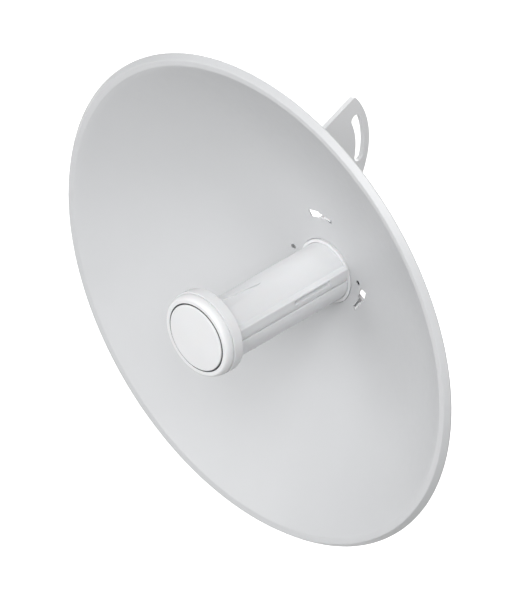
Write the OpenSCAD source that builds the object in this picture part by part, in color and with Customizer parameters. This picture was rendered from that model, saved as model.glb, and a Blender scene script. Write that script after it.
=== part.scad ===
// Outdoor wireless bridge: a pressed parabolic dish, a feed tube that holds the
// radio and plugs in from the front, a moulded hub behind the dish, and a steel
// bracket whose fan-shaped wing sets the elevation.
// The dish looks along -Y, +X is to the right seen from the front, +Z is up.
// The origin is the elevation pivot, in the middle of the bracket's wing.

/* [Reflector] */
// Outer radius of the dish rim
dish_r = 210; // [205:1:215]
// Depth of the dish, from the lip's front to the bowl's deepest point
dish_depth = 82.5; // [80:0.5:84]
// Focal length of the parabola
dish_focus = 123.6; // [122:0.2:125]
// Thickness of the pressed sheet
sheet_t = 1.2; // [1:0.1:1.4]
// Width of the lip, from the bowl's edge to the outside
rim_w = 9.3; // [9:0.1:10]
// How far the lip's outer edge is rolled back
rim_back = 5.2; // [4.5:0.1:6]

/* [Feed tube] */
// Outer radius of the tube
tube_r = 24.4; // [24:0.1:24.6]
// Wall thickness of the tube
tube_wall = 2.2; // [2:0.1:2.4]
// How far the tube's axis lies below the dish's axis
tube_drop = 8.5; // [8:0.5:9]
// Front end of the tube, in front of the rim's plane
tube_front = 48; // [47:0.5:49]
// Rear end of the tube, behind the rim's plane
tube_rear = 108; // [107:0.5:109]

/* [Cap] */
// Outer radius of the cap's collar
cap_r = 35.4; // [35:0.1:36]
// How far the cap's axis lies below the dish's axis
cap_drop = 1; // [0.5:0.5:1.5]
// Front face of the cap, in front of the rim's plane
cap_front = 63.4; // [63:0.1:64]
// Rear face of the cap, in front of the rim's plane
cap_back = 45.6; // [45:0.1:46]

/* [Hub] */
// Radius of the hub's barrel about the dish's axis
hub_r = 33; // [32.5:0.5:33.5]
// Front face of the hub's flange, behind the rim's plane
hub_front = 83.9; // [83.8:0.1:84.2]
// Rear face of the hub's barrel, behind the rim's plane
hub_rear = 113; // [112:0.5:114]
// Rear face of the hub's neck, behind the rim's plane
neck_rear = 134; // [133:0.5:135]

/* [Bracket] */
// Thickness of the bracket's steel
steel_t = 4; // [3.5:0.5:4]
// Distance of the wing to the left of the dish's axis
wing_x = 70; // [68:1:72]
// Height of the pivot above the dish's axis
pivot_z = 29; // [28.5:0.5:29.5]
// Distance of the pivot behind the rim's plane
pivot_y = 126; // [125.5:0.5:127]
// Radius of the pivot bore
pivot_r = 4.25; // [4:0.05:4.5]
// Radius of the fan's outer edge about the pivot
fan_r = 71.6; // [71:0.1:72]
// Radius of the arc slot's centre line about the pivot
arc_r = 61; // [60:0.5:61.5]
// Width of the arc slot
arc_w = 9.4; // [9:0.1:10]
// Lower end of the arc slot, in degrees from level
arc_low = -12; // [-14:0.5:-11]
// Upper end of the arc slot, in degrees from level
arc_high = 22.5; // [20:0.5:23]

/* [Hidden] */

$fn = 96;
eps = 0.01;
far = 100;

// Colours
paint_white = "gainsboro";
shell_white = "whitesmoke";
steel_grey = "lightgrey";
zinc = "silver";
rubber = "dimgray";
pcb_green = "darkgreen";
tin = "lightsteelblue";
brass = "peru";
clear = "aliceblue";

// Reflector
rim_start_r = dish_r - rim_w;
rim_crest_r = dish_r - 4.2;
sheet_cut = [dish_depth - 20, dish_depth + 10];
bowl_steps = 24;
roll_steps = 8;
dish_hole_r = 27.5;
slot_r = 42.5;
slot_turn = 120;
slot_wide = [97.5, 112.5];
slot_tail = [80, 97.5];
slot_wide_w = 7;
slot_tail_w = 4;
eye_x = 35.4;
eye_z = -2.5;
eye_r = 2.25;

// Hub
flange_r = 34.5;
flange_t = 3.5;
hub_wall = 2.4;
socket_r = tube_r + 0.3;
collar_r = dish_hole_r - 0.4;
collar_front = 79.8;
neck_r = 22;
neck_wall = 2.3;
screw_sites = [[-17, 17], [17, 17], [-28.6, -8], [28.6, -8]];
screw_r = 2;
boss_r = 3.9;
hook_span = [81.5, 91];
hook_arm_span = [64, 91];
hook_r = [42.3, 44.2];
hook_front = 78.4;
hook_arm_t = 2.4;
ear_r = 4.6;
peg_hole_r = 1.6;

// Release button, on top of the hub
button_y = 100;
button_r = 6;
button_travel = 2;
button_top = hub_r + 2;
button_head_t = 4.4;
button_stem_r = 3;
button_floor = 24.2;
spring_wire = 0.8;

// Port door, at the rear of the neck
door_t = 2.2;
door_gap = 0.3;
hinge_z = neck_r - tube_drop + 3.2;
hinge_y = neck_rear + 1.4;
pin_r = 1;
pin_play = 0.06;
knuckle_r = 2.6;
knuckle_half = 6.6;
ear_t = 3;
ear_gap = 0.3;
exit_w = 11;
exit_front = 122;
cable_r = 3.2;
door_window_at = [-17.4, -14];
door_window_size = [6.8, 3.2];
lip_half = 7;
lip_reach = 2.4;

// Bracket
fan_half = 39.5;
arm_low = 14;
arm_high = 44;
fan_edge_slope = 23;
plate_r = 32.5;
plate_drop = 3;
neck_hole_r = neck_r + 0.4;
washer_t = 1;
washer_r = 4.3;
head_t = 2.6;
head_r = 3.8;
ground_x = -54;
ground_z = 33;
ground_r = 2;

// Feed tube details, about the tube's own axis
seam_z = 4.2;
seam_gap = 1.1;
seam_depth = 1.2;
rail_top = 14.8;
rail_side = 24.8;
rail_low = 6.4;
rail_rear = collar_front - 0.1;
window_y = [21, 60];
window_z = [8.8, 13.2];
window_depth = 1.9;
wedge_tip = 16;
wedge_half = 8.6;
wedge_depth = 1.5;
end_plate_t = 2.5;
seal_y = 101;
seal_wire = 1.4;

// Cap details
cap_wall = 2.4;
groove_y = -55.3;
bezel_r = 31.8;
shoulder_steps = 8;
ring_gap_r = [28, 29.2];
disc_t = 2.4;
disc_flange_y = [-cap_front + 3, -cap_front + 5];
disc_flange_r = 31.6;
mirror_t = 0.8;
mirror_r = [29, 31];
support_r = 12;
support_wall = 2;
antenna_r = 21;

// Boards
board_z = -14;
board_t = 1.6;
board_w = 39;
board_front = -42;
board_rear = 102;
board_screw_sites = [[-15, -32], [15, -32], [-15, 64], [15, 64]];
jack_w = 16;
jack_h = 13.4;
jack_len = 21;
jack_x = -3;
reset_x = 12.5;
reset_z = -9;
led_x = -15;
led_w = 2.8;
led_top = -6.6;
led_front = 90;
front_can = [[-11, -24], [11, 8]];
front_can_h = 3.5;
rear_can = [[-14, 14], [14, 56]];
rear_can_h = 4.5;
can_wall = 0.4;
lan_site = [[-11, 66], [5, 80]];
lan_h = 6;
pad_site = [[-10, 16], [10, 54]];
pad_t = 1;
sink_site = [[-11, -16], [11, 94]];
sink_h = 6.5;
fin_pitch = 4;
fin_gap = 2;
fin_h = 4.1;
switch_site = [[reset_x - 3, 92], [reset_x + 3, 98]];
switch_h = 6;
reset_pin_r = 1.7;
reset_head_r = 2.4;
reset_front = 98.6;

// Moves a shape from the dish's frame to the pivot's
module from_pivot() translate([wing_x, -pivot_y, -pivot_z]) children();

// Turns a shape made about Z so that its +Z points backward, along +Y
module backward() rotate([-90, 0, 0]) children();

// Extrudes an outline seen from the front, X right and Z up, from y0 to y1
module slab(y0, y1) translate([0, y1, 0]) rotate([90, 0, 0]) linear_extrude(y1 - y0) children();

// Cylinder along Y from y0 to y1 about (x, z)
module rod_y(r, y0, y1, x = 0, z = 0) translate([x, y0, z]) backward() cylinder(r = r, h = y1 - y0);

// Cylinder along X from x0 to x1 about (y, z)
module rod_x(r, x0, x1, y = 0, z = 0) translate([x0, y, z]) rotate([0, 90, 0]) cylinder(r = r, h = x1 - x0);

// Box from its lowest to its highest corner
module span_box(a, b) translate(a) cube(b - a);

// Ring about Z with the given section [inner r, outer r] between two angles
module arc_band(radii, angles, steps = 12)
    polygon(concat(
        [for (i = [0:steps]) let (a = angles[0] + (angles[1] - angles[0]) * i / steps)
            radii[1] * [cos(a), sin(a)]],
        [for (i = [steps:-1:0]) let (a = angles[0] + (angles[1] - angles[0]) * i / steps)
            radii[0] * [cos(a), sin(a)]]));

// Repeats a shape at the dish's three bayonet places
module three_ways() for (i = [0:2]) rotate(-slot_turn * i) children();

// Depth of the bowl's front face at a radius
function bowl_y(r) = dish_depth - r * r / (4 * dish_focus);

// ---------- reflector ----------

module reflector_section() {
    bowl = [for (i = [0:bowl_steps]) let (r = rim_start_r * i / bowl_steps) [r, bowl_y(r)]];
    roll = [for (i = [0:roll_steps]) let (a = 90 * i / roll_steps)
        [rim_crest_r + (dish_r - rim_crest_r) * sin(a), rim_back * (1 - cos(a))]];
    inner_roll = [for (i = [roll_steps:-1:0]) let (a = 90 * i / roll_steps)
        [rim_crest_r + (dish_r - rim_crest_r - sheet_t) * sin(a),
            rim_back - (rim_back - sheet_t) * cos(a)]];
    back = [for (i = [bowl_steps:-1:0]) let (r = rim_start_r * i / bowl_steps)
        [r, bowl_y(r) + sheet_t]];
    polygon(concat(bowl, roll, inner_roll, back));
}

module reflector() {
    color(paint_white) from_pivot() difference() {
        backward() rotate_extrude($fn = 180) reflector_section();
        rod_y(dish_hole_r, sheet_cut[0], sheet_cut[1], 0, -tube_drop);
        slab(sheet_cut[0], sheet_cut[1]) three_ways() {
            arc_band([slot_r - slot_wide_w / 2, slot_r + slot_wide_w / 2], slot_wide, 4);
            arc_band([slot_r - slot_tail_w / 2, slot_r + slot_tail_w / 2],
                [slot_tail[0], slot_tail[1] + 1], 6);
        }
        for (side = [-1, 1])
            rod_y(eye_r, sheet_cut[0], sheet_cut[1], side * eye_x, eye_z);
    }
}

// ---------- hub ----------

module flange_outline(inset = 0) {
    circle(flange_r - inset);
    translate([0, -tube_drop]) circle(tube_r + 5.4 - inset);
}

module hub_outline() {
    circle(hub_r);
    translate([0, -tube_drop]) circle(socket_r + hub_wall);
    for (s = screw_sites) translate(s) circle(boss_r);
}

module hub_pocket_outline() difference() {
    circle(hub_r - hub_wall);
    translate([0, -tube_drop]) circle(socket_r + hub_wall);
    for (s = screw_sites) translate(s) circle(boss_r + 0.6);
}

module hub_hooks() {
    slab(hub_front, hub_front + hook_arm_t)
        three_ways() arc_band([flange_r - 2, hook_r[1]], hook_arm_span, 8);
    slab(hook_front, hub_front + hook_arm_t)
        three_ways() arc_band(hook_r, hook_span, 4);
}

module hinge_ears() for (side = [-1, 1]) {
    x0 = side > 0 ? knuckle_half + ear_gap : -knuckle_half - ear_gap - ear_t;
    difference() {
        union() {
            rod_x(knuckle_r + 0.4, x0, x0 + ear_t, hinge_y, hinge_z);
            span_box([x0, neck_rear - 8, 10], [x0 + ear_t, hinge_y + 0.6, hinge_z]);
            span_box([x0, neck_rear - 8, hinge_z - eps], [x0 + ear_t, hinge_y, hinge_z + 1.6]);
        }
        rod_x(pin_r, x0 - 1, x0 + ear_t + 1, hinge_y, hinge_z);
        rod_y(neck_r - 1, neck_rear - 10, neck_rear + 10, 0, -tube_drop);
        // Room for the door's edge
        span_box([x0 - 1, neck_rear, 0], [x0 + ear_t + 1, neck_rear + 10, hinge_z - 2.4]);
    }
}

module hub() {
    color(shell_white) from_pivot() {
        difference() {
            union() {
                slab(hub_front, hub_front + flange_t) {
                    flange_outline();
                    for (side = [-1, 1]) translate([side * eye_x, eye_z]) circle(ear_r);
                }
                slab(hub_front + flange_t - eps, hub_rear) hub_outline();
                rod_y(collar_r, collar_front, hub_front + 1, 0, -tube_drop);
                rod_y(neck_r, hub_rear - 3, neck_rear, 0, -tube_drop);
                translate([0, button_y, 12]) cylinder(r = button_r + 2.4, h = hub_r - 13);
            }
            // Socket for the feed tube, with a stepped rear stop
            rod_y(socket_r, collar_front - 1, tube_rear + 0.4, 0, -tube_drop);
            rod_y(neck_r - neck_wall, tube_rear - 4, neck_rear + 1, 0, -tube_drop);
            // Hollow above the socket, open at the rear before the bracket covers it
            difference() {
                slab(hub_front + 2.4, hub_rear + 1) hub_pocket_outline();
                translate([0, button_y, 0]) cylinder(r = button_r + 2.4, h = far);
            }
            // Release button's well and stem hole
            translate([0, button_y, button_floor]) cylinder(r = button_r + 0.3, h = 20);
            translate([0, button_y, 0]) cylinder(r = button_stem_r + 0.08, h = far);
            for (s = screw_sites) rod_y(screw_r, hub_rear - 14, hub_rear + 1, s[0], s[1]);
            for (side = [-1, 1])
                rod_y(peg_hole_r, hub_front - 1, hub_front + flange_t - 1, side * eye_x, eye_z);
            // Cable exit at the bottom of the neck
            span_box([-exit_w / 2, exit_front, -tube_drop - neck_r - 2],
                [exit_w / 2, neck_rear + 1, -tube_drop - neck_r + 6]);
        }
        hub_hooks();
        hinge_ears();
    }
}

module hub_gasket() {
    color(rubber) from_pivot() difference() {
        slab(dish_depth - 6, hub_front) difference() {
            flange_outline(0.6);
            translate([0, -tube_drop]) circle(dish_hole_r + 0.4);
        }
        backward() rotate_extrude($fn = 120)
            polygon(concat([[0, 0]], [for (i = [0:10]) [i * 4, bowl_y(i * 4) + sheet_t]],
                [[40, 0]]));
    }
}

// ---------- release button ----------

module release_button() {
    color(paint_white) from_pivot() translate([0, button_y, 0]) {
        difference() {
            translate([0, 0, button_top - button_head_t])
                cylinder(r = button_r, h = button_head_t);
            // Finger dish
            translate([0, 0, button_top + 14]) sphere(15);
        }
        translate([0, 0, tube_r - tube_drop + button_travel + 0.4])
            cylinder(r = button_stem_r,
                h = button_top - button_head_t - tube_r + tube_drop - button_travel - 0.4 + eps);
    }
}

module release_spring() {
    free = button_top - button_head_t - button_floor;
    turns = 3.5;
    color(zinc) from_pivot() translate([0, button_y, button_floor + spring_wire / 2])
        linear_extrude(free - spring_wire, twist = -360 * turns, slices = 84, $fn = 8)
            translate([4.4, 0]) circle(d = spring_wire, $fn = 8);
}

// ---------- port door ----------

// Light window in the door, over the light pipe
module window_outline() translate(door_window_at) square(door_window_size);

module port_door() {
    color(shell_white) from_pivot() difference() {
        union() {
            rod_y(neck_r, neck_rear + door_gap, neck_rear + door_gap + door_t, 0, -tube_drop);
            rod_x(knuckle_r, -knuckle_half, knuckle_half, hinge_y, hinge_z);
            span_box([-knuckle_half, neck_rear + door_gap, 8],
                [knuckle_half, neck_rear + door_gap + door_t, hinge_z]);
            // Thumb lip
            span_box([-lip_half, neck_rear + door_gap, -tube_drop - neck_r - lip_reach],
                [lip_half, neck_rear + door_gap + door_t, -tube_drop - neck_r + 3]);
        }
        rod_x(pin_r + pin_play, -20, 20, hinge_y, hinge_z);
        slab(neck_rear - 1, neck_rear + 6) window_outline();
    }
}

module door_window() {
    color(clear) from_pivot()
        slab(neck_rear + door_gap, neck_rear + door_gap + door_t)
            window_outline();
}

module door_pin() {
    half = knuckle_half + ear_gap + ear_t;
    color(zinc) from_pivot() rod_x(pin_r, -half, half, hinge_y, hinge_z);
}

module cable_grommet() {
    low = -tube_drop - neck_r;
    lip = 1.4;
    color(rubber) from_pivot() difference() {
        union() {
            span_box([-exit_w / 2, exit_front, low - eps], [exit_w / 2, neck_rear - 0.2, low + 3.4]);
            span_box([-exit_w / 2 - lip, exit_front - lip, low - lip],
                [exit_w / 2 + lip, neck_rear - 0.2, low]);
        }
        translate([0, (exit_front + neck_rear) / 2, low - 5]) cylinder(r = cable_r, h = 12);
    }
}

// ---------- bracket ----------

// Side view of the wing about the pivot: x is backward, y is up
module wing_outline() difference() {
    front = hub_rear - pivot_y;
    rise = tan(fan_edge_slope);
    edge_at_pivot = fan_r * (sin(fan_half) - rise * cos(fan_half));
    intersection() {
        circle(fan_r);
        polygon([
            [front, edge_at_pivot + front * rise], [fan_r * 2, edge_at_pivot + fan_r * 2 * rise],
            [fan_r * 2, -edge_at_pivot - fan_r * 2 * rise], [front, -edge_at_pivot - front * rise]]);
    }
    circle(pivot_r);
}

module arc_slot_cutter() {
    translate([0, 0, -1]) {
        rotate_extrude(angle = arc_high - arc_low, start = arc_low)
            translate([arc_r - arc_w / 2, 0]) square([arc_w, steel_t + 2]);
        for (a = [arc_low, arc_high]) rotate(a) translate([arc_r, 0, 0])
            cylinder(r = arc_w / 2, h = steel_t + 2);
    }
}

module elevation_bracket() {
    color(steel_grey) from_pivot() difference() {
        union() {
            translate([-wing_x - steel_t / 2, pivot_y, pivot_z])
                rotate([90, 0, 90]) difference() {
                    linear_extrude(steel_t) wing_outline();
                    arc_slot_cutter();
                }
            slab(hub_rear, hub_rear + steel_t) {
                translate([0, -plate_drop]) circle(plate_r);
                polygon([[-wing_x - steel_t / 2, arm_low], [-wing_x - steel_t / 2, arm_high],
                    [-44, arm_high], [-8, 27], [0, 0], [-20, 2], [-36, arm_low]]);
            }
        }
        rod_y(neck_hole_r, hub_rear - 1, hub_rear + steel_t + 1, 0, -tube_drop);
        for (s = screw_sites)
            rod_y(screw_r + 0.25, hub_rear - 1, hub_rear + steel_t + 1, s[0], s[1]);
        rod_y(ground_r, hub_rear - 1, hub_rear + steel_t + 1, ground_x, ground_z);
    }
}

module bracket_washers() {
    y0 = hub_rear + steel_t;
    color(zinc) from_pivot() for (s = screw_sites) difference() {
        rod_y(washer_r, y0, y0 + washer_t, s[0], s[1]);
        rod_y(screw_r + 0.2, y0 - 1, y0 + washer_t + 1, s[0], s[1]);
    }
}

// Pan-head screw along Y with a cross recess, its head's seat at y0
module pan_screw(r, length, head, head_h, y0) {
    difference() {
        union() {
            rod_y(r, y0 - length, y0 + head_h);
            rod_y(head, y0, y0 + head_h);
        }
        for (a = [0, 90]) translate([0, y0 + head_h - 1.2, 0]) rotate([0, a, 0])
            translate([-head * 0.6, 0, -0.4]) cube([head * 1.2, 5, 0.8]);
    }
}

module bracket_screws() {
    y0 = hub_rear + steel_t + washer_t;
    color(zinc) from_pivot() for (s = screw_sites) translate([s[0], 0, s[1]])
        pan_screw(screw_r, 17, head_r, head_t, y0);
}

module ground_washer() {
    y0 = hub_rear + steel_t;
    color(brass) from_pivot() difference() {
        rod_y(5, y0, y0 + 0.9, ground_x, ground_z);
        rod_y(ground_r + 0.2, y0 - 1, y0 + 3, ground_x, ground_z);
    }
}

module ground_screw() {
    color(zinc) from_pivot() translate([ground_x, 0, ground_z])
        pan_screw(ground_r, 9, 3.9, 2.4, hub_rear + steel_t + 0.9);
}

// ---------- feed tube ----------

// Places a shape made about the tube's own axis
module about_tube() translate([0, 0, -tube_drop]) children();

module tube_wall_solid() difference() {
    rod_y(tube_r, -tube_front, tube_rear);
    rod_y(tube_r - tube_wall, -tube_front - 1, tube_rear + 1);
}

// Cylinder below the tube's surface, at that depth
module tube_core(depth) rod_y(tube_r - depth, -tube_front - 10, tube_rear);

module seal_groove() {
    translate([0, seal_y, 0]) backward() rotate_extrude()
        translate([tube_r, 0]) square([3, seal_wire + 0.3], center = true);
}

module feed_upper_shell() {
    color(shell_white) from_pivot() about_tube() difference() {
        union() {
            intersection() {
                tube_wall_solid();
                span_box([-40, -tube_front - 1, seam_z], [40, tube_rear + 1, 40]);
            }
            // Keying rail on the right
            difference() {
                span_box([18, -cap_back, rail_low], [rail_side, rail_rear, rail_top]);
                tube_core(tube_wall / 2);
                span_box([rail_side - window_depth, window_y[0], window_z[0]],
                    [rail_side + 1, window_y[1], window_z[1]]);
            }
        }
        // Tapered recess on top, behind the cap
        translate([0, 0, tube_r - wedge_depth]) linear_extrude(10)
            polygon([[0, wedge_tip], [-wedge_half, -cap_back], [-wedge_half, -cap_back - 0.01],
                [wedge_half, -cap_back - 0.01], [wedge_half, -cap_back]]);
        seal_groove();
    }
}

module feed_lower_shell() {
    boss_top = board_z + tube_drop;
    color(shell_white) from_pivot() about_tube() {
        difference() {
            intersection() {
                tube_wall_solid();
                span_box([-40, -tube_front - 1, -40], [40, tube_rear + 1, seam_z]);
            }
            // Shadow gap under the seam
            difference() {
                span_box([-40, -cap_back, seam_z - seam_gap], [40, rail_rear, seam_z + 1]);
                tube_core(seam_depth);
            }
            seal_groove();
        }
        // Bosses that carry the main board
        for (s = board_screw_sites) intersection() {
            difference() {
                translate([s[0], s[1], -30]) cylinder(r = 3, h = 30 + boss_top);
                translate([s[0], s[1], boss_top - 6]) cylinder(r = 1, h = 10);
            }
            tube_core(tube_wall / 2);
        }
    }
}

module tube_end_plate() {
    y1 = tube_rear;
    color(shell_white) from_pivot() difference() {
        rod_y(tube_r - tube_wall - 0.05, y1 - end_plate_t, y1, 0, -tube_drop);
        span_box([jack_x - jack_w / 2 - 0.1, y1 - 5, board_z + board_t - 0.1],
            [jack_x + jack_w / 2 + 0.1, y1 + 1, board_z + board_t + jack_h + 0.1]);
        rod_y(2, y1 - 5, y1 + 1, reset_x, reset_z);
        span_box([led_x - led_w / 2 - 0.1, y1 - 5, board_z + board_t - 0.1],
            [led_x + led_w / 2 + 0.1, y1 + 1, led_top + 0.1]);
    }
}

module tube_seal() {
    color(rubber) from_pivot() about_tube() translate([0, seal_y, 0]) backward()
        rotate_extrude() translate([tube_r - 0.75, 0]) circle(d = seal_wire, $fn = 24);
}

// ---------- cap ----------

// Places a shape made about the cap's axis
module about_cap() translate([0, 0, -cap_drop]) children();

module cap_ring() {
    inner = cap_r - cap_wall;
    flange_y = disc_flange_y[0];
    shoulder_y = groove_y - 0.7;
    shoulder = [for (i = [0:shoulder_steps]) let (a = 90 * i / shoulder_steps)
        [bezel_r + (cap_r - 0.6 - bezel_r) * cos(a),
            shoulder_y - (cap_front + shoulder_y) * sin(a)]];
    color(shell_white) from_pivot() difference() {
        about_cap() backward() rotate_extrude() polygon(concat(
            [[0, -cap_back - cap_wall], [0, -cap_back], [cap_r - 1, -cap_back],
                [cap_r, -cap_back - 1], [cap_r, groove_y + 0.5], [cap_r - 0.9, groove_y + 0.4],
                [cap_r - 0.9, groove_y - 0.4], [cap_r - 0.6, groove_y - 0.5]],
            shoulder,
            [[ring_gap_r[1], -cap_front], [ring_gap_r[1], flange_y], [inner, flange_y],
                [inner, -cap_back - cap_wall]]));
        rod_y(tube_r, -tube_front - 1, -cap_back + 10, 0, -tube_drop);
    }
}

module cap_disc() {
    color(shell_white) from_pivot() about_cap() backward() rotate_extrude()
        polygon([[0, -cap_front], [ring_gap_r[0] - 0.4, -cap_front], [ring_gap_r[0], -cap_front + 0.4],
            [ring_gap_r[0], disc_flange_y[0]], [disc_flange_r, disc_flange_y[0]],
            [disc_flange_r, disc_flange_y[1]], [ring_gap_r[0] - disc_t, disc_flange_y[1]],
            [ring_gap_r[0] - disc_t, -cap_front + disc_t], [0, -cap_front + disc_t]]);
}

module cap_seal() {
    color(rubber) from_pivot() about_cap() backward() rotate_extrude()
        translate([(ring_gap_r[0] + ring_gap_r[1]) / 2, -cap_front + 1.6])
            circle(d = ring_gap_r[1] - ring_gap_r[0], $fn = 20);
}

module sub_reflector() {
    color(tin) from_pivot() about_cap() backward() rotate_extrude()
        polygon([[0, disc_flange_y[1]], [mirror_r[0], disc_flange_y[1]],
            [mirror_r[1], disc_flange_y[1] + 1.6], [mirror_r[1] - 0.6, disc_flange_y[1] + 2.2],
            [mirror_r[0] - 0.4, disc_flange_y[1] + mirror_t],
            [0, disc_flange_y[1] + mirror_t]]);
}

module reflector_support() {
    color(paint_white) from_pivot() about_cap() difference() {
        rod_y(support_r, disc_flange_y[1] + mirror_t, board_front - board_t);
        rod_y(support_r - support_wall, -cap_front, -cap_back + 5);
    }
}

module antenna_board() {
    color(pcb_green) from_pivot()
        rod_y(antenna_r, board_front - board_t, board_front, 0, -tube_drop);
}

// ---------- boards ----------

module main_board() {
    color(pcb_green) from_pivot() difference() {
        span_box([-board_w / 2, board_front, board_z], [board_w / 2, board_rear, board_z + board_t]);
        for (s = board_screw_sites) translate([s[0], s[1], board_z - 1]) cylinder(r = 1.3, h = 5);
    }
}

module board_screws() {
    top = board_z + board_t;
    color(zinc) from_pivot() for (s = board_screw_sites) translate([s[0], s[1], 0]) {
        translate([0, 0, top - 6.5]) cylinder(r = 1, h = 7);
        translate([0, 0, top]) cylinder(r = 2.2, h = 1.6);
    }
}

// Block standing on the board over a site, its lowest and highest (x, y)
module on_board(site, height)
    span_box([site[0].x, site[0].y, board_z + board_t],
        [site[1].x, site[1].y, board_z + board_t + height]);

// Stamped shield can standing on the board
module shield_can(site, height) difference() {
    on_board(site, height);
    translate([0, 0, -can_wall])
        on_board([site[0] + [can_wall, can_wall], site[1] - [can_wall, can_wall]], height);
}

module rf_shield_front() {
    color(tin) from_pivot() shield_can(front_can, front_can_h);
}

module rf_shield_rear() {
    color(tin) from_pivot() shield_can(rear_can, rear_can_h);
}

module lan_transformer() {
    color("black") from_pivot() on_board(lan_site, lan_h);
}

module thermal_pad() {
    color("slategray") from_pivot()
        span_box([each pad_site[0], board_z - pad_t], [each pad_site[1], board_z]);
}

module heat_spreader() {
    top = board_z - pad_t;
    color(zinc) from_pivot() difference() {
        span_box([each sink_site[0], top - sink_h], [each sink_site[1], top]);
        for (i = [-2:2])
            span_box([i * fin_pitch - fin_gap / 2, sink_site[0].y - 1, top - sink_h - 0.5],
                [i * fin_pitch + fin_gap / 2, sink_site[1].y + 1, top - sink_h + fin_h]);
    }
}

module ethernet_jack() {
    z0 = board_z + board_t;
    y1 = tube_rear - 0.4;
    socket_y = y1 - 13;
    color(tin) from_pivot() difference() {
        span_box([jack_x - jack_w / 2, y1 - jack_len, z0], [jack_x + jack_w / 2, y1, z0 + jack_h]);
        // Plug socket, with the groove of the plug's latch above it
        span_box([jack_x - 5.9, socket_y, z0 + 3.2], [jack_x + 5.9, y1 + 1, z0 + 10]);
        span_box([jack_x - 3.2, socket_y, z0 + 9.9], [jack_x + 3.2, y1 + 1, z0 + 11.6]);
    }
}

module reset_switch() {
    color("black") from_pivot() on_board(switch_site, switch_h);
}

module reset_button() {
    color("black") from_pivot() {
        rod_y(reset_pin_r, reset_front, tube_rear - 0.6, reset_x, reset_z);
        rod_y(reset_head_r, reset_front, reset_front + 1.4, reset_x, reset_z);
    }
}

module light_pipe() {
    color(clear) from_pivot()
        span_box([led_x - led_w / 2, led_front, board_z + board_t],
            [led_x + led_w / 2, tube_rear - 0.3, led_top]);
}

reflector();
hub();
hub_gasket();
elevation_bracket();
bracket_screws();
bracket_washers();
ground_screw();
ground_washer();
release_button();
release_spring();
port_door();
door_window();
door_pin();
cable_grommet();
feed_upper_shell();
feed_lower_shell();
tube_end_plate();
tube_seal();
cap_ring();
cap_disc();
cap_seal();
sub_reflector();
reflector_support();
antenna_board();
main_board();
board_screws();
rf_shield_front();
rf_shield_rear();
lan_transformer();
heat_spreader();
thermal_pad();
ethernet_jack();
reset_switch();
reset_button();
light_pipe();
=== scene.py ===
import math

import bmesh
import bpy
from mathutils import Matrix, Vector


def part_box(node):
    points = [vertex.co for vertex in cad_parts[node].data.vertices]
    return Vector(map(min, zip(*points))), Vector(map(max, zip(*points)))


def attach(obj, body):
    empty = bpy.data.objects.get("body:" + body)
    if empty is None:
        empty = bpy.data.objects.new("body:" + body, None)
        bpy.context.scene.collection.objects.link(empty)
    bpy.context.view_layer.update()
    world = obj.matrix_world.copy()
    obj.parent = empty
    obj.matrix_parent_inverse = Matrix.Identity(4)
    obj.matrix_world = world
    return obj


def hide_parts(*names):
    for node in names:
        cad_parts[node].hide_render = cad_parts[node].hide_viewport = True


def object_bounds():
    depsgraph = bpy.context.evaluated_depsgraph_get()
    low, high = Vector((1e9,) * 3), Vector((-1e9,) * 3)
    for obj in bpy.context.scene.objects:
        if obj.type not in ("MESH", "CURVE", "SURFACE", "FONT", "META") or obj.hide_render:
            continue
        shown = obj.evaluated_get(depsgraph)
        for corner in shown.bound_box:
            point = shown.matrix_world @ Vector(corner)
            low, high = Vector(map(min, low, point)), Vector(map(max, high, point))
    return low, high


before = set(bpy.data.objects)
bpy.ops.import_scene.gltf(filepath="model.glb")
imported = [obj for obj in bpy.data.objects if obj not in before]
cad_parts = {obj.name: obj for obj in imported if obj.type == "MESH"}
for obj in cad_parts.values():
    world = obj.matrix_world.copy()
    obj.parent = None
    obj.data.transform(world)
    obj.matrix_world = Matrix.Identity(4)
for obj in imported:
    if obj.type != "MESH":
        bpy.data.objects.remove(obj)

CAD_LOW, CAD_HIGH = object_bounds()
MM = 0.001
MICRON = 0.000001


# ---------- where things are ----------

dish_low, dish_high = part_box("reflector")
# How far the crest of the lip is in front of the datum
LIP_REACH = 4.0
# The datum is on the dish's axis, just in front of the dish's widest circle. Every length
# below is in millimetres from here: X right, Y backward, Z up.
DATUM = Vector((
    (dish_low.x + dish_high.x) / 2,
    dish_low.y + LIP_REACH * MM,
    (dish_low.z + dish_high.z) / 2,
))


def local_box(node):
    """Lowest and highest corner of a CAD node, in millimetres from the datum."""
    low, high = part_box(node)
    return (low - DATUM) / MM, (high - DATUM) / MM


def span(node):
    """A CAD node's radius across X, the height of its axis if it is round, and its front and rear."""
    low, high = local_box(node)
    radius = (high.x - low.x) / 2
    return radius, (low.z + high.z) / 2, low.y, high.y


# Dish
DISH_R = (dish_high.x - dish_low.x) / 2 / MM
SHEET = 1.2
FOCUS = 123.6
# The tube's hole cuts the bowl's deepest point away; its top edge is this far from the axis
HOLE_TOP = 19.0
BOWL_BACK = (dish_high.y - DATUM.y) / MM - SHEET + HOLE_TOP ** 2 / (4 * FOCUS)
RIM_W = 9.3
BOWL_R = DISH_R - RIM_W
# The lip's crest, the slope of the cone outside it, and the front and rear of the outer wall
CREST_INSET = 4.2
CREST_R = DISH_R - CREST_INSET
CREST_Y = -LIP_REACH
CREST_ROUND = 1.0
CONE_ANGLE = 48.0
WALL_Y = (0.3, 1.2)
TUBE_HOLE_R = 27.5
# Bayonet slots: angles of the wide and the narrow stretch, which overlap a little
SLOTS = 3
SLOT_R = 42.5
SLOT_WIDE = (97.5, 112.5)
SLOT_TAIL = (80.0, 97.5)
SLOT_WIDE_W = 7.0
SLOT_TAIL_W = 4.0
SLOT_OVERLAP = 2.0
SLOT_TURN = 360.0 / SLOTS
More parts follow.
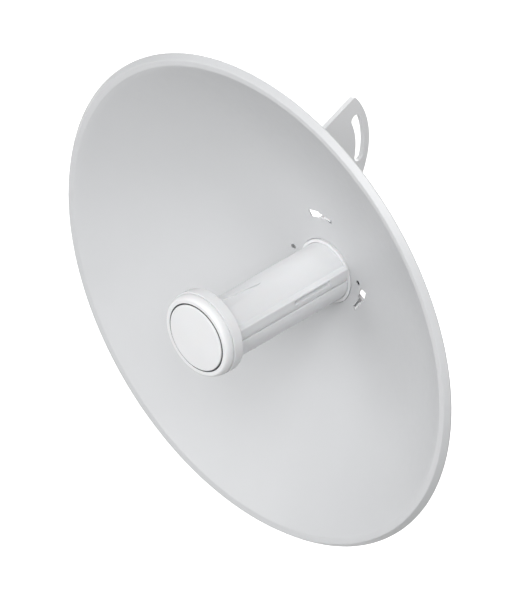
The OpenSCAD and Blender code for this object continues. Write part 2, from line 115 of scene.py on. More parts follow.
# The two round holes beside the tube
EYE_X = 35.4
EYE_Z = -2.5
EYE_R = 2.25
# Where cutters for the bowl's middle start and end
BOWL_CUT = (55.0, 95.0)

# Feed tube
lower_low, lower_high = local_box("feed_lower_shell")
upper_low, upper_high = local_box("feed_upper_shell")
TUBE_R = (lower_high.x - lower_low.x) / 2
TUBE_Z = lower_low.z + TUBE_R
TUBE_FRONT = lower_low.y
TUBE_REAR = lower_high.y
TUBE_WALL = 2.2
# Where cutters that are longer than the tube start and end
TUBE_CUT = (-80.0, 120.0)
SEAM_Z = upper_low.z - TUBE_Z
SEAM_GAP = 1.7
SEAM_DEPTH = 1.8
# Half the width of the seam's cutter, which is wider than the tube
SEAM_CUT_HALF = 40.0
RAIL_SIDE = upper_high.x
RAIL_INNER = 18.0
RAIL_LOW = 6.4
RAIL_TOP = 14.8
RAIL_FRONT = -49.6
RAIL_REAR = 75.7
RAIL_LOW_ROUND = 0.5
RAIL_TOP_ROUND = 1.2
WINDOW_Y = (17.0, 56.0)
WINDOW_Z = (8.8, 13.2)
WINDOW_DEPTH = 2.8
WINDOW_ROUND = 0.5
# The pointed recess on top, behind the cap
WEDGE_TIP = 5.0
WEDGE_HALF = 8.6
WEDGE_DEPTH = 1.8

# Cap
CAP_R, CAP_Z, CAP_FRONT, CAP_BACK = span("cap_ring")
CAP_WALL = 2.4
GROOVE_Y = -59.3
GROOVE_DEPTH = 1.6
BEZEL_R = 31.8
GAP_R = 29.2
# Where the cutter for the tube's seat in the cap starts and ends, and how loose the seat is
CAP_CUT = (-56.0, -40.0)
CAP_SEAT_GAP = 0.05
DISC_R = 28.0
DISC_PROUD = 1.1
DISC_CROWN = 0.35
DISC_THICK = 2.6
# The disc's hidden flange, behind the cap's front
FLANGE_R = 31.6
FLANGE_W = 2.4
FLANGE_Y = (3.0, 5.0)

# Bracket
bracket_low, bracket_high = local_box("elevation_bracket")
# The CAD's origin is the middle of the pivot bore
PIVOT = -DATUM / MM
STEEL = 4.0
PLATE_Y = bracket_low.y
WING_X = bracket_low.x
FAN_R = bracket_high.y - PIVOT.y
FAN_HALF = 39.5
EDGE_SLOPE = 23.0
FAN_CORNER_R = 3.0
# The fan's round edge stops this many degrees short of its corners
FAN_CORNER_TURN = 2.5
ARC_R = 61.0
ARC_W = 9.4
ARC_SPAN = (-12.0, 22.5)
PIVOT_R = 4.25
# Heights of the arm's lower and upper edge at the wing, and the bend (x, z, radius) and the
# end of each edge
ARM_LOW = 14.0
ARM_LOW_BEND = (-36.0, ARM_LOW, 14.0)
ARM_LOW_END = (-20.0, 2.0, 0.0)
ARM_HIGH = 44.0
ARM_HIGH_BEND = (-44.0, ARM_HIGH, 26.0)
ARM_HIGH_END = (-8.0, 27.0, 0.0)
PLATE_R = 32.5
PLATE_Z = -3.0
NECK_HOLE_R = 22.4
SCREW_SITES = ((-17.0, 17.0), (17.0, 17.0), (-28.6, -8.0), (28.6, -8.0))
SCREW_HOLE_R = 2.25
GROUND = (-54.0, 33.0)
GROUND_R = 2.0

# How far a short cutter reaches past what it cuts
CUT_PAST = 2.0

# Steps round turned things, in each large arc or circle, round holes and round small holes
FINE = 256
ROUND = 128
HOLE = 64
SMALL_HOLE = 32

# Degrees from which an edge is rounded, and from which it is left sharp in the shading
EDGE_ANGLE = 32.0
SHARP_ANGLE = 40.0


def linked(name, data):
    """New object with this data, in the scene."""
    thing = bpy.data.objects.new(name, data)
    bpy.context.collection.objects.link(thing)
    return thing


def direction(azimuth, elevation):
    """Unit vector away from the datum; the azimuth turns from the front to the right, in degrees."""
    a, e = math.radians(azimuth), math.radians(elevation)
    return Vector((math.sin(a) * math.cos(e), -math.cos(a) * math.cos(e), math.sin(e)))


def facing(away):
    """Turn that points a camera or lamp against a direction."""
    return (-away).to_track_quat("-Z", "Y")


# ---------- camera ----------

VIEW_AZIMUTH = 45.0
VIEW_ELEVATION = 35.26
CAMERA_DISTANCE = 8.0
FRAME_HEIGHT = 0.4662
SENSOR = 36.0
CLIP = (0.1, 40.0)
# Middle of the picture, to the right of and above the datum
AIM_RIGHT = 6.8 * MM
AIM_UP = 1.4 * MM


def make_camera():
    """Long-lens camera at the product shot's angle."""
    back = direction(VIEW_AZIMUTH, VIEW_ELEVATION)
    turn = facing(back)
    aim = DATUM + turn @ Vector((AIM_RIGHT, AIM_UP, 0.0))
    camera = linked("camera", bpy.data.cameras.new("camera"))
    camera.data.sensor_width = SENSOR
    camera.data.lens = SENSOR * CAMERA_DISTANCE / FRAME_HEIGHT
    camera.data.clip_start, camera.data.clip_end = CLIP
    camera.rotation_mode = "QUATERNION"
    camera.rotation_quaternion = turn
    camera.location = aim + back * CAMERA_DISTANCE
    bpy.context.scene.camera = camera


make_camera()


# ---------- materials ----------

# Noise stays mostly between these
NOISE_RANGE = (0.3, 0.7)


class Graph:
    """Short way to add and link the nodes of one material."""

    def __init__(self, name):
        self.material = bpy.data.materials.new(name)
        self.material.use_nodes = True
        self.nodes = self.material.node_tree.nodes
        self.links = self.material.node_tree.links
        self.shader = self.nodes["Principled BSDF"]
        self.place = self.nodes.new("ShaderNodeTexCoord").outputs["Object"]

    def set(self, **values):
        """Sets uniform values on the shader's own sockets."""
        for key, value in values.items():
            self.shader.inputs[key.replace("_", " ")].default_value = value

    def noise(self, scale, detail=2.0, roughness=0.5, stretch=None):
        """Noise in object space; scale is features per metre."""
        node = self.nodes.new("ShaderNodeTexNoise")
        node.inputs["Scale"].default_value = scale
        node.inputs["Detail"].default_value = detail
        node.inputs["Roughness"].default_value = roughness
        source = self.place
        if stretch:
            mapping = self.nodes.new("ShaderNodeMapping")
            mapping.inputs["Scale"].default_value = stretch
            self.links.new(source, mapping.inputs["Vector"])
            source = mapping.outputs["Vector"]
        self.links.new(source, node.inputs["Vector"])
        return node.outputs["Fac"]

    def spread(self, source, low, high):
        """Maps a 0 to 1 source, which noise keeps near a half, to low to high."""
        node = self.nodes.new("ShaderNodeMapRange")
        node.inputs["From Min"].default_value = NOISE_RANGE[0]
        node.inputs["From Max"].default_value = NOISE_RANGE[1]
        node.inputs["To Min"].default_value = low
        node.inputs["To Max"].default_value = high
        self.links.new(source, node.inputs["Value"])
        return node.outputs["Result"]

    def colours(self, source, first, second):
        """Mixes two colours by a source."""
        node = self.nodes.new("ShaderNodeMix")
        node.data_type = "RGBA"
        node.inputs["A"].default_value = (*first, 1.0)
        node.inputs["B"].default_value = (*second, 1.0)
        self.links.new(self.spread(source, 0.0, 1.0), node.inputs["Factor"])
        return node.outputs["Result"]

    def bump(self, source, height, normal=None):
        """Bump of a height in metres; a second bump stacks on the first's normal."""
        node = self.nodes.new("ShaderNodeBump")
        node.inputs["Strength"].default_value = 1.0
        node.inputs["Distance"].default_value = height
        self.links.new(source, node.inputs["Height"])
        if normal:
            self.links.new(normal, node.inputs["Normal"])
        return node.outputs["Normal"]

    def link(self, source, socket):
        """Feeds one of the shader's sockets."""
        self.links.new(source, self.shader.inputs[socket])


def shade(colour, factor):
    """Lighter or darker colour."""
    return tuple(min(1.0, channel * factor) for channel in colour)


def powder_coat(name, colour, gloss):
    """Baked powder paint on steel: orange peel, faint tone changes and a thin clear skin."""
    graph = Graph(name)
    graph.set(Coat_Weight=0.18, Coat_Roughness=0.22, IOR=1.5)
    tone = graph.noise(9.0, detail=3.0)
    graph.link(graph.colours(tone, shade(colour, 0.985), shade(colour, 1.012)), "Base Color")
    graph.link(graph.spread(graph.noise(160.0, detail=2.0), gloss - 0.03, gloss + 0.04), "Roughness")
    peel = graph.bump(graph.noise(620.0, detail=1.0), 12 * MICRON)
    graph.link(graph.bump(graph.noise(2600.0, detail=1.0), 3 * MICRON, peel), "Normal")
    return graph.material


def moulded_plastic(name, colour, gloss):
    """Satin moulded plastic: fine grain and slight flow marks, drawn out along Y."""
    graph = Graph(name)
    graph.set(IOR=1.49, Subsurface_Weight=0.04, Subsurface_Scale=0.002)
    flow = graph.noise(26.0, detail=2.0, stretch=(1.0, 0.25, 1.0))
    graph.link(graph.colours(flow, shade(colour, 0.988), shade(colour, 1.01)), "Base Color")
    graph.link(graph.spread(graph.noise(340.0, detail=2.0), gloss - 0.03, gloss + 0.05), "Roughness")
    graph.link(graph.bump(graph.noise(3400.0, detail=1.0), 4 * MICRON), "Normal")
    return graph.material


def rubber(name, colour):
    """Matt moulded rubber with a dusty bloom."""
    graph = Graph(name)
    graph.set(IOR=1.45, Specular_IOR_Level=0.35)
    bloom = graph.noise(420.0, detail=4.0, roughness=0.7)
    graph.link(graph.colours(bloom, colour, shade(colour, 1.7)), "Base Color")
    graph.link(graph.spread(graph.noise(900.0, detail=2.0), 0.62, 0.82), "Roughness")
    graph.link(graph.bump(graph.noise(2400.0, detail=3.0), 10 * MICRON), "Normal")
    return graph.material


def plated(name, colour, gloss, tint):
    """Plated or tinned steel: fine drawing lines and a slight tint that comes and goes."""
    graph = Graph(name)
    graph.set(Metallic=1.0)
    graph.link(graph.colours(graph.noise(120.0, detail=4.0, roughness=0.6), colour, tint), "Base Color")
    lines = graph.noise(900.0, detail=3.0, stretch=(1.0, 1.0, 7.0))
    graph.link(graph.spread(lines, gloss - 0.08, gloss + 0.1), "Roughness")
    graph.link(graph.bump(lines, 4 * MICRON), "Normal")
    return graph.material


def solder_mask(name, colour):
    """Green circuit board: copper runs that show through a glossy mask."""
    graph = Graph(name)
    graph.set(IOR=1.5)
    brick = graph.nodes.new("ShaderNodeTexBrick")
    brick.inputs["Scale"].default_value = 210.0
    brick.inputs["Mortar Size"].default_value = 0.035
    brick.inputs["Color1"].default_value = (*colour, 1.0)
    brick.inputs["Color2"].default_value = (*shade(colour, 0.8), 1.0)
    brick.inputs["Mortar"].default_value = (*shade(colour, 1.9), 1.0)
    graph.links.new(graph.place, brick.inputs["Vector"])
    graph.link(brick.outputs["Color"], "Base Color")
    graph.link(graph.spread(graph.noise(500.0), 0.22, 0.34), "Roughness")
    graph.link(graph.bump(brick.outputs["Fac"], 20 * MICRON), "Normal")
    return graph.material


def frosted(name, colour):
    """Frosted clear plastic for the light window."""
    graph = Graph(name)
    graph.set(IOR=1.49, Transmission_Weight=0.75)
    graph.link(graph.colours(graph.noise(300.0), colour, shade(colour, 0.94)), "Base Color")
    graph.link(graph.spread(graph.noise(1200.0), 0.28, 0.42), "Roughness")
    graph.link(graph.bump(graph.noise(2600.0), 6 * MICRON), "Normal")
    return graph.material


DISH_WHITE = (0.56, 0.567, 0.578)
PLASTIC_WHITE = (0.755, 0.76, 0.77)
MATERIALS = {
    "dish_paint": powder_coat("dish_paint", DISH_WHITE, 0.42),
    "bracket_paint": powder_coat("bracket_paint", (0.83, 0.835, 0.845), 0.46),
    "white_plastic": moulded_plastic("white_plastic", PLASTIC_WHITE, 0.36),
    "grey_plastic": moulded_plastic("grey_plastic", (0.58, 0.585, 0.6), 0.42),
    "black_plastic": moulded_plastic("black_plastic", (0.03, 0.03, 0.033), 0.45),
    "clear_plastic": frosted("clear_plastic", (0.86, 0.9, 0.93)),
    "black_rubber": rubber("black_rubber", (0.028, 0.028, 0.03)),
    "zinc_steel": plated("zinc_steel", (0.66, 0.67, 0.68), 0.32, (0.6, 0.62, 0.66)),
    "tinned_steel": plated("tinned_steel", (0.72, 0.73, 0.74), 0.26, (0.68, 0.69, 0.7)),
    "aluminium": plated("aluminium", (0.77, 0.78, 0.79), 0.36, (0.74, 0.75, 0.76)),
    "brass": plated("brass", (0.72, 0.55, 0.27), 0.3, (0.66, 0.48, 0.22)),
    "circuit_board": solder_mask("circuit_board", (0.02, 0.12, 0.06)),
    "grey_pad": rubber("grey_pad", (0.26, 0.27, 0.29)),
}


# ---------- outlines ----------

def arc(u, v, radius, start, stop, steps):
    """Points on an arc about (u, v), angles in degrees."""
    angles = [math.radians(start + (stop - start) * i / steps) for i in range(steps + 1)]
    return [(u + radius * math.cos(a), v + radius * math.sin(a)) for a in angles]


def circle(u, v, radius, steps=ROUND):
    """Closed circle about (u, v)."""
    return arc(u, v, radius, 0.0, 360.0, steps)[:-1]


def box_outline(u0, v0, u1, v1, radius=0.0):
    """Closed rectangle between two corners, with round corners if a radius is given."""
    return rounded([(u0, v0, radius), (u1, v0, radius), (u1, v1, radius), (u0, v1, radius)])


def rounded(corners, steps=5):
    """Closed outline through corners (u, v, radius), each turned by an arc of its own radius."""
    points = []
    for i, (u, v, radius) in enumerate(corners):
        here = Vector((u, v))
        if radius == 0.0:
            points.append((u, v))
            continue
        before = (Vector(corners[i - 1][:2]) - here).normalized()
        after = (Vector(corners[(i + 1) % len(corners)][:2]) - here).normalized()
        half = before.angle(after) / 2
        centre = here + (before + after).normalized() * radius / math.sin(half)
        start = here + before * radius / math.tan(half) - centre
        stop = here + after * radius / math.tan(half) - centre
        for k in range(steps + 1):
            along = start.lerp(stop, k / steps).normalized() * radius
            points.append(tuple(centre + along))
    return points


def polar_band(inner, outer, start, stop):
    """Ring section about the dish's axis between two angles."""
    steps = 12
    return arc(0, 0, outer, start, stop, steps) + arc(0, 0, inner, stop, start, steps)


# ---------- solids ----------

def solid(name, mesh):
    """Object from a bmesh in millimetres from the datum; the bmesh is freed."""
    bmesh.ops.recalc_face_normals(mesh, faces=mesh.faces)
    data = bpy.data.meshes.new(name)
    mesh.to_mesh(data)
    mesh.free()
    data.transform(Matrix.Translation(DATUM) @ Matrix.Scale(MM, 4))
    return linked(name, data)


def lathe(name, profile, z=0.0):
    """Solid turned about the Y axis at height z; profile is a closed outline of (radius, y)."""
    mesh = bmesh.new()
    angles = [2 * math.pi * i / FINE for i in range(FINE)]
    on_axis = 1e-6
    rings = []
    for radius, y in profile:
        if radius < on_axis:
            rings.append([mesh.verts.new((0.0, y, z))])
        else:
            rings.append([mesh.verts.new((radius * math.cos(a), y, z + radius * math.sin(a)))
                          for a in angles])
    for here, there in zip(rings, rings[1:] + rings[:1]):
        if len(here) == len(there) == 1:
            continue
        for i in range(FINE):
            j = (i + 1) % FINE
            corners = [here[i % len(here)], here[j % len(here)],
                       there[j % len(there)], there[i % len(there)]]
            mesh.faces.new(list(dict.fromkeys(corners)))
    return solid(name, mesh)


# Where an outline's point (u, v) at w along an axis is
PLACES = {
    "X": lambda u, v, w: (w, u, v),
    "Y": lambda u, v, w: (u, w, v),
    "Z": lambda u, v, w: (u, v, w),
}


def prism(name, outline, axis, low, high):
    """Outline extruded along an axis from low to high. It is seen as (y, z), (x, z) or (x, y)."""
    mesh = bmesh.new()
    place = PLACES[axis]
    bottom = [mesh.verts.new(place(u, v, low)) for u, v in outline]
    top = [mesh.verts.new(place(u, v, high)) for u, v in outline]
    mesh.faces.new(bottom)
    mesh.faces.new(top)
    for i in range(len(outline)):
        j = (i + 1) % len(outline)
        mesh.faces.new((bottom[i], bottom[j], top[j], top[i]))
    return solid(name, mesh)


def drill(axis, u, v, radius, low, high, steps=HOLE):
    """Round cutter along an axis from low to high."""
    return prism("cutter", circle(u, v, radius, steps), axis, low, high)


def settle(thing):
    """Applies a thing's modifiers."""
    graph = bpy.context.evaluated_depsgraph_get()
    old = thing.data
    new = bpy.data.meshes.new_from_object(thing.evaluated_get(graph))
    thing.modifiers.clear()
    thing.data = new
    new.name = thing.name
    bpy.data.meshes.remove(old)


def combine(thing, others, operation):
    """Changes a thing by the others, which are used up."""
    for other in others:
        modifier = thing.modifiers.new("combine", "BOOLEAN")
        modifier.operation = operation
        modifier.solver = "EXACT"
        modifier.object = other
    settle(thing)
    for other in others:
        bpy.data.objects.remove(other)


def cut(thing, *cutters):
    """Takes cutters away from a thing."""
    combine(thing, cutters, "DIFFERENCE")


def join(thing, *others):
    """Melts others into a thing."""
    combine(thing, others, "UNION")


def soften(thing, width, segments=3):
    """Rounds the sharp edges and evens out the shading."""
    bevel = thing.modifiers.new("bevel", "BEVEL")
    bevel.width = width * MM
    bevel.segments = segments
    bevel.limit_method = "ANGLE"
    bevel.angle_limit = math.radians(EDGE_ANGLE)
    bevel.use_clamp_overlap = True
    settle(thing)
    smooth(thing)


def smooth(thing, angle=SHARP_ANGLE):
    """Smooth shading that keeps sharp edges, weighted towards the large faces."""
    thing.data.shade_smooth()
    thing.data.set_sharp_from_angle(angle=math.radians(angle))
    weighted = thing.modifiers.new("weighted", "WEIGHTED_NORMAL")
    weighted.keep_sharp = True
    weighted.weight = 70
    settle(thing)


def finish_piece(thing, body, slot, node):
    """Gives a piece its material, hangs it on its body and hides the CAD node that it stands for."""
    thing.data.materials.clear()
    thing.data.materials.append(MATERIALS[slot])
    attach(thing, body)
    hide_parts(node)


# ---------- reflector ----------

def bowl_y(radius):
    """Depth of the bowl's front face, a paraboloid."""
    return BOWL_BACK - radius * radius / (4 * FOCUS)


def dish_profile():
    """Section of the pressed dish: bowl, crease, lip, round crest, cone, wall, and back again."""
    rings = 48
    front = [(BOWL_R * i / rings, bowl_y(BOWL_R * i / rings)) for i in range(rings + 1)]
    back = [(r, y + SHEET) for r, y in reversed(front)]
    crease_r = BOWL_R + 1.0
    crease_y = bowl_y(BOWL_R) - 0.3
    lip = [(BOWL_R + 0.35, bowl_y(BOWL_R) - 0.16), (crease_r, crease_y),
           (CREST_R - 0.8, CREST_Y + 0.04)]
    crest = arc(CREST_R, CREST_Y + CREST_ROUND, CREST_ROUND, -90.0, CONE_ANGLE - 90.0, 10)
    wall_front, wall_rear = WALL_Y
    wall = [(DISH_R - 0.25, wall_front - 0.35), (DISH_R - 0.06, wall_front - 0.05),
            (DISH_R, wall_front + 0.3), (DISH_R, wall_rear - 0.2), (DISH_R - 0.2, wall_rear)]
    inside = [(DISH_R - SHEET, wall_rear), (CREST_R, CREST_Y + SHEET + 0.3),
              (crease_r, crease_y + SHEET)]
    return front + lip + crest + wall + inside + back


def bowl_normals(thing):
    """Gives the bowl's faces their exact normals, so the cut-outs leave no mark in the shading."""
    data = thing.data
    data.shade_smooth()
    data.set_sharp_from_angle(angle=math.radians(SHARP_ANGLE))
    inside_lip = BOWL_R - 0.1
    alike = 0.97
    normals = [Vector((0.0, 0.0, 0.0))] * len(data.loops)
    for face in data.polygons:
        for loop in face.loop_indices:
            point = (data.vertices[data.loops[loop].vertex_index].co - DATUM) / MM
            if math.hypot(point.x, point.z) > inside_lip:
                continue
            exact = Vector((point.x, 2 * FOCUS, point.z)).normalized()
            same_way = face.normal.dot(exact)
            if abs(same_way) > alike:
                normals[loop] = exact if same_way > 0 else -exact
    data.normals_split_custom_set(normals)


def slot_cutter(width, start, stop):
    """Cutter for one stretch of a bayonet slot, between two angles about the axis."""
    band = polar_band(SLOT_R - width / 2, SLOT_R + width / 2, start, stop)
    return prism("cutter", band, "Y", *BOWL_CUT)


def make_reflector():
    """Pressed dish with the tube's hole, the bayonet slots and the two round holes."""
    dish = lathe("dish_reflector", dish_profile())
    cutters = [drill("Y", 0, TUBE_Z, TUBE_HOLE_R, *BOWL_CUT, ROUND)]
    for i in range(SLOTS):
        turn = -SLOT_TURN * i
        tail_stop = SLOT_TAIL[1] + turn + SLOT_OVERLAP
        cutters.append(slot_cutter(SLOT_WIDE_W, SLOT_WIDE[0] + turn, SLOT_WIDE[1] + turn))
        cutters.append(slot_cutter(SLOT_TAIL_W, SLOT_TAIL[0] + turn, tail_stop))
    for side in (-1, 1):
        cutters.append(drill("Y", side * EYE_X, EYE_Z, EYE_R, *BOWL_CUT, SMALL_HOLE))
    cut(dish, *cutters)
    bowl_normals(dish)
    finish_piece(dish, "mount", "dish_paint", "reflector")


# ---------- feed tube ----------

def seam_angle():
    """Height of the seam as an angle about the tube's axis."""
    return math.degrees(math.asin(SEAM_Z / TUBE_R))


def half_pipe(name, start, stop):
    """Wall of the tube between two angles about its axis."""
    outline = (arc(0, TUBE_Z, TUBE_R, start, stop, ROUND)
               + arc(0, TUBE_Z, TUBE_R - TUBE_WALL, stop, start, ROUND))
    return prism(name, outline, "Y", TUBE_FRONT, TUBE_REAR)


def make_upper_shell():
    """Upper half of the tube with a rail on its right side and the recess behind the cap."""
    shell = half_pipe("feed_tube_upper", seam_angle(), 180.0 - seam_angle())
    low, top = TUBE_Z + RAIL_LOW, TUBE_Z + RAIL_TOP
    rail = prism("rail", rounded([
        (RAIL_INNER, low, 0.0), (RAIL_SIDE, low, RAIL_LOW_ROUND),
        (RAIL_SIDE, top, RAIL_TOP_ROUND), (RAIL_INNER, top, 0.0)]), "Y", RAIL_FRONT, RAIL_REAR)
    cut(rail, drill("Y", 0, TUBE_Z, TUBE_R - TUBE_WALL / 2, *TUBE_CUT, ROUND))
    join(shell, rail)
    window = prism("cutter", box_outline(
        WINDOW_Y[0], TUBE_Z + WINDOW_Z[0], WINDOW_Y[1], TUBE_Z + WINDOW_Z[1], WINDOW_ROUND),
        "X", RAIL_SIDE - WINDOW_DEPTH, RAIL_SIDE + CUT_PAST)
    base_y = CAP_BACK - 0.4
    wedge = prism("cutter", [(0.0, WEDGE_TIP), (-WEDGE_HALF, base_y), (WEDGE_HALF, base_y)],
                  "Z", TUBE_Z + TUBE_R - WEDGE_DEPTH, TUBE_Z + TUBE_R + CUT_PAST)
    cut(shell, window, wedge)
    soften(shell, 0.3)
    finish_piece(shell, "feed", "white_plastic", "feed_upper_shell")


def make_lower_shell():
    """Lower half of the tube, with a gap along each seam."""
    shell = half_pipe("feed_tube_lower", 180.0 - seam_angle(), 360.0 + seam_angle())
    seam = TUBE_Z + SEAM_Z
    gap = prism("cutter", box_outline(
        -SEAM_CUT_HALF, seam - SEAM_GAP, SEAM_CUT_HALF, seam + CUT_PAST), "Y", CAP_BACK, RAIL_REAR)
    cut(gap, drill("Y", 0, TUBE_Z, TUBE_R - SEAM_DEPTH, *TUBE_CUT, ROUND))
    cut(shell, gap)
    soften(shell, 0.2)
    finish_piece(shell, "feed", "white_plastic", "feed_lower_shell")


# ---------- cap ----------

def make_cap_ring():
    """Cap moulding: collar, fine groove, rounded shoulder and a bezel round the disc."""
    bezel_y = CAP_FRONT + DISC_PROUD
    inside_y = CAP_BACK - CAP_WALL
    ledge_y = CAP_FRONT + FLANGE_Y[0]
    groove_r = CAP_R - GROOVE_DEPTH
    shoulder_y = GROOVE_Y - 0.9
    rise = CAP_R - 0.6 - BEZEL_R
    run = shoulder_y - bezel_y
    profile = [(0.0, inside_y), (0.0, CAP_BACK)]
    profile += [(CAP_R - 0.9, CAP_BACK), (CAP_R - 0.26, CAP_BACK - 0.26), (CAP_R, CAP_BACK - 0.9)]
    profile += [(CAP_R, GROOVE_Y + 0.75), (CAP_R - 0.1, GROOVE_Y + 0.5),
                (CAP_R - 0.35, GROOVE_Y + 0.42), (groove_r, GROOVE_Y + 0.4),
                (groove_r, GROOVE_Y - 0.5), (CAP_R - 0.8, GROOVE_Y - 0.6)]
    profile += [(BEZEL_R + rise * c, shoulder_y - run * s) for c, s in arc(0, 0, 1.0, 0, 90, 14)]
    profile += [(GAP_R + 0.35, bezel_y), (GAP_R + 0.08, bezel_y + 0.1), (GAP_R, bezel_y + 0.4)]
    profile += [(GAP_R, ledge_y), (CAP_R - CAP_WALL, ledge_y), (CAP_R - CAP_WALL, inside_y)]
    ring = lathe("cap_ring_moulding", profile, CAP_Z)
    cut(ring, drill("Y", 0, TUBE_Z, TUBE_R + CAP_SEAT_GAP, *CAP_CUT, ROUND))
    smooth(ring, 34.0)
    finish_piece(ring, "feed", "white_plastic", "cap_ring")


def make_cap_disc():
    """Round radome lens: very slightly crowned, with a rounded edge and a hidden flange."""
    steps = 14
    face_r = DISC_R * 0.97
    face = [(face_r * i / steps, CAP_FRONT + DISC_CROWN * ((i / steps) ** 2 - 0.5))
            for i in range(steps + 1)]
    edge = [(DISC_R - 0.45, CAP_FRONT + 0.32), (DISC_R - 0.12, CAP_FRONT + 0.62),
            (DISC_R, CAP_FRONT + 1.0)]
    flange_front, flange_rear = CAP_FRONT + FLANGE_Y[0], CAP_FRONT + FLANGE_Y[1]
    inside = CAP_FRONT + DISC_THICK
    flange = [(DISC_R, flange_front), (FLANGE_R, flange_front), (FLANGE_R, flange_rear),
              (DISC_R - FLANGE_W, flange_rear), (DISC_R - FLANGE_W, inside), (0.0, inside)]
    disc = lathe("cap_disc_moulding", face + edge + flange, CAP_Z)
    smooth(disc, 50.0)
    finish_piece(disc, "feed", "white_plastic", "cap_disc")


# ---------- bracket ----------

def wing_outline():
    """The fan seen from the side, (y, z): straight edges that open towards its round outer edge."""
    rise = math.tan(math.radians(EDGE_SLOPE))
    half = math.radians(FAN_HALF)
    at_pivot = FAN_R * (math.sin(half) - rise * math.cos(half))
    front = PLATE_Y - PIVOT.y
    round_half = FAN_HALF - FAN_CORNER_TURN
    outer = arc(0, 0, FAN_R, -round_half, round_half, 48)
    top = rounded([(*outer[-1], 0.0),
                   (FAN_R * math.cos(half), FAN_R * math.sin(half), FAN_CORNER_R),
                   (front, at_pivot + front * rise, 0.0)])[1:]
    bottom = [(u, -v) for u, v in reversed(top)]
    return [(PIVOT.y + u, PIVOT.z + v) for u, v in bottom + outer + top]


def slot_end(angle, start):
    """Round end of the arc slot at an angle about the pivot."""
    turn = math.radians(angle)
    return arc(ARC_R * math.cos(turn), ARC_R * math.sin(turn), ARC_W / 2, start, start + 180.0, 16)


def arc_slot_outline():
    """The curved slot seen from the side, (y, z)."""
    inner, outer = ARC_R - ARC_W / 2, ARC_R + ARC_W / 2
    low, high = ARC_SPAN
    outline = (arc(0, 0, outer, low, high, 32)[:-1] + slot_end(high, high)
               + arc(0, 0, inner, high, low, 32)[1:-1] + slot_end(low, low + 180.0)[:-1])
    return [(PIVOT.y + u, PIVOT.z + v) for u, v in outline]


def make_bracket():
    """Steel bracket: a plate across the hub's rear, an arm to the left, and the folded wing."""
    wing = prism("elevation_bracket_plate", wing_outline(), "X", WING_X, WING_X + STEEL)
    through_wing = WING_X - CUT_PAST, WING_X + STEEL + CUT_PAST
    cut(wing, prism("cutter", arc_slot_outline(), "X", *through_wing),
        drill("X", PIVOT.y, PIVOT.z, PIVOT_R, *through_wing))
    plate = prism("plate", circle(0, PLATE_Z, PLATE_R), "Y", PLATE_Y, PLATE_Y + STEEL)
    arm = prism("arm", rounded([
        (WING_X, ARM_LOW, 0.0), ARM_LOW_BEND, ARM_LOW_END, (0.0, 0.0, 0.0),
        ARM_HIGH_END, ARM_HIGH_BEND, (WING_X, ARM_HIGH, 0.0)], 10),
        "Y", PLATE_Y, PLATE_Y + STEEL)
    join(plate, arm)
    through_plate = PLATE_Y - CUT_PAST, PLATE_Y + STEEL + CUT_PAST
    cutters = [drill("Y", 0, TUBE_Z, NECK_HOLE_R, *through_plate, ROUND),
               drill("Y", *GROUND, GROUND_R, *through_plate, SMALL_HOLE)]
    for x, z in SCREW_SITES:
        cutters.append(drill("Y", x, z, SCREW_HOLE_R, *through_plate, SMALL_HOLE))
    cut(plate, *cutters)
    join(wing, plate)
    soften(wing, 0.45)
    finish_piece(wing, "mount", "bracket_paint", "elevation_bracket")


# ---------- pieces refined from their CAD solids ----------

# Points closer than this many metres are merged, and faces flatter than this angle are joined
MERGE_DISTANCE = 1e-6
FLAT_ANGLE = 0.6


def refined(node, name, body, slot, width):
    """Copy of a CAD solid with merged faces, which stands for it; a width rounds its edges."""
    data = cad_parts[node].data.copy()
    mesh = bmesh.new()
    mesh.from_mesh(data)
    bmesh.ops.remove_doubles(mesh, verts=mesh.verts, dist=MERGE_DISTANCE)
    bmesh.ops.dissolve_limit(mesh, angle_limit=math.radians(FLAT_ANGLE),
                             verts=mesh.verts, edges=mesh.edges)
    mesh.to_mesh(data)
    mesh.free()
    thing = linked(name, data)
    if width:
        soften(thing, width, 2)
    else:
        smooth(thing, EDGE_ANGLE)
    finish_piece(thing, body, slot, node)


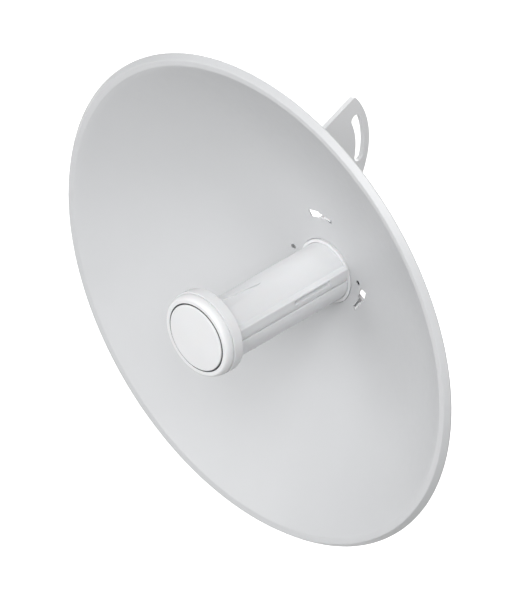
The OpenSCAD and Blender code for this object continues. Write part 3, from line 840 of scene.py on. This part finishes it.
REFINED = [
    # (CAD node, name, body, slot, width of the rounded edges)
    ("hub", "hub_housing", "mount", "white_plastic", 0.35),
    ("hub_gasket", "hub_gasket_pad", "mount", "black_rubber", 0.0),
    ("bracket_screws", "bracket_screw_set", "mount", "zinc_steel", 0.12),
    ("bracket_washers", "bracket_washer_set", "mount", "zinc_steel", 0.12),
    ("ground_screw", "ground_screw_plated", "mount", "zinc_steel", 0.12),
    ("ground_washer", "ground_washer_ring", "mount", "brass", 0.1),
    ("release_button", "release_button_cap", "release_button", "grey_plastic", 0.3),
    ("release_spring", "release_spring_coil", "mount", "zinc_steel", 0.0),
    ("port_door", "port_door_cover", "port_door", "white_plastic", 0.3),
    ("door_window", "door_window_lens", "port_door", "clear_plastic", 0.15),
    ("door_pin", "door_hinge_pin", "mount", "zinc_steel", 0.15),
    ("cable_grommet", "cable_exit_grommet", "mount", "black_rubber", 0.3),
    ("tube_end_plate", "tube_end_cover", "feed", "white_plastic", 0.15),
    ("tube_seal", "tube_seal_ring", "feed", "black_rubber", 0.0),
    ("cap_seal", "cap_seal_ring", "feed", "black_rubber", 0.0),
    ("sub_reflector", "sub_reflector_dish", "feed", "aluminium", 0.1),
    ("reflector_support", "reflector_support_post", "feed", "white_plastic", 0.2),
    ("antenna_board", "antenna_circuit_board", "feed", "circuit_board", 0.1),
    ("main_board", "main_circuit_board", "feed", "circuit_board", 0.1),
    ("board_screws", "board_screw_set", "feed", "zinc_steel", 0.12),
    ("rf_shield_front", "radio_shield_front", "feed", "tinned_steel", 0.15),
    ("rf_shield_rear", "radio_shield_rear", "feed", "tinned_steel", 0.15),
    ("lan_transformer", "lan_transformer_block", "feed", "black_plastic", 0.3),
    ("heat_spreader", "heat_spreader_extrusion", "feed", "aluminium", 0.2),
    ("thermal_pad", "thermal_gap_pad", "feed", "grey_pad", 0.1),
    ("ethernet_jack", "network_jack_shell", "feed", "tinned_steel", 0.15),
    ("reset_switch", "reset_switch_body", "feed", "black_plastic", 0.2),
    ("reset_button", "reset_button_pin", "reset_button", "black_plastic", 0.2),
    ("light_pipe", "status_light_pipe", "feed", "clear_plastic", 0.15),
]


# ---------- studio ----------

LIGHTS = {
    # name: (azimuth, elevation, size in metres, power in watts)
    "key": (45.0, 45.0, 1.6, 30.0),
    "high": (20.0, 60.0, 1.6, 15.0),
    "low_front": (10.0, 12.0, 2.0, 19.0),
    "low_left": (-25.0, 15.0, 1.8, 22.0),
    "left": (-60.0, 25.0, 2.0, 5.0),
    "right": (110.0, 25.0, 2.0, 14.0),
    "top": (0.0, 80.0, 1.6, 5.0),
    "from_below": (70.0, -25.0, 2.0, 8.0),
    "behind_left": (218.0, 28.0, 2.0, 42.0),
    "behind_right": (165.0, 30.0, 2.0, 5.0),
}
LIGHT_DISTANCE = 2.4
FLOOR_DROP = 0.45
BACKDROP_R = 14.0
FLOOR_GLOW = 0.9
BACKDROP_GLOW = 1.0
STAGE_TONES = (0.5, 0.5, 0.5), (0.505, 0.505, 0.505)


def make_light(name, azimuth, elevation, size, power):
    """Soft round lamp that faces the datum."""
    lamp = bpy.data.lights.new(name, "AREA")
    lamp.shape = "DISK"
    lamp.size = size
    lamp.energy = power
    away = direction(azimuth, elevation)
    thing = linked(name, lamp)
    thing.location = DATUM + away * LIGHT_DISTANCE
    thing.rotation_mode = "QUATERNION"
    thing.rotation_quaternion = facing(away)


def stage_material(name, glow):
    """Plain pale surface that carries some light of its own."""
    graph = Graph(name)
    graph.set(Roughness=0.9, Specular_IOR_Level=0.0, Emission_Color=(1.0, 1.0, 1.0, 1.0),
              Emission_Strength=glow)
    graph.link(graph.colours(graph.noise(2.0), *STAGE_TONES), "Base Color")
    return graph.material


def scenery(name, mesh, glow):
    """Stage piece from a bmesh in metres, below the object; the bmesh is freed."""
    data = bpy.data.meshes.new(name)
    mesh.to_mesh(data)
    mesh.free()
    data.materials.append(stage_material(name, glow))
    thing = linked(name, data)
    thing.location = (0.0, 0.0, CAD_LOW.z - FLOOR_DROP)
    return thing


def make_stage():
    """Plain pale floor, and a far pale backdrop that only the camera sees."""
    mesh = bmesh.new()
    bmesh.ops.create_circle(mesh, cap_ends=True, segments=96, radius=BACKDROP_R)
    floor = scenery("floor", mesh, FLOOR_GLOW)
    # The floor doesn't light the object, and the lamp below it shines through
    floor.visible_diffuse = False
    floor.visible_shadow = False

    mesh = bmesh.new()
    bmesh.ops.create_uvsphere(mesh, u_segments=48, v_segments=24, radius=BACKDROP_R)
    bmesh.ops.reverse_faces(mesh, faces=mesh.faces)
    backdrop = scenery("backdrop", mesh, BACKDROP_GLOW)
    for ray in ("diffuse", "glossy", "transmission", "volume_scatter", "shadow"):
        setattr(backdrop, "visible_" + ray, False)


def make_lighting():
    """Soft lamps in a dark world."""
    world = bpy.data.worlds.new("studio")
    world.use_nodes = True
    world.node_tree.nodes["Background"].inputs["Strength"].default_value = 0.0
    bpy.context.scene.world = world
    for name, settings in LIGHTS.items():
        make_light(name, *settings)
    bpy.context.scene.view_settings.view_transform = "Standard"


make_reflector()
make_upper_shell()
make_lower_shell()
make_cap_ring()
make_cap_disc()
make_bracket()
for entry in REFINED:
    refined(*entry)
make_stage()
make_lighting()
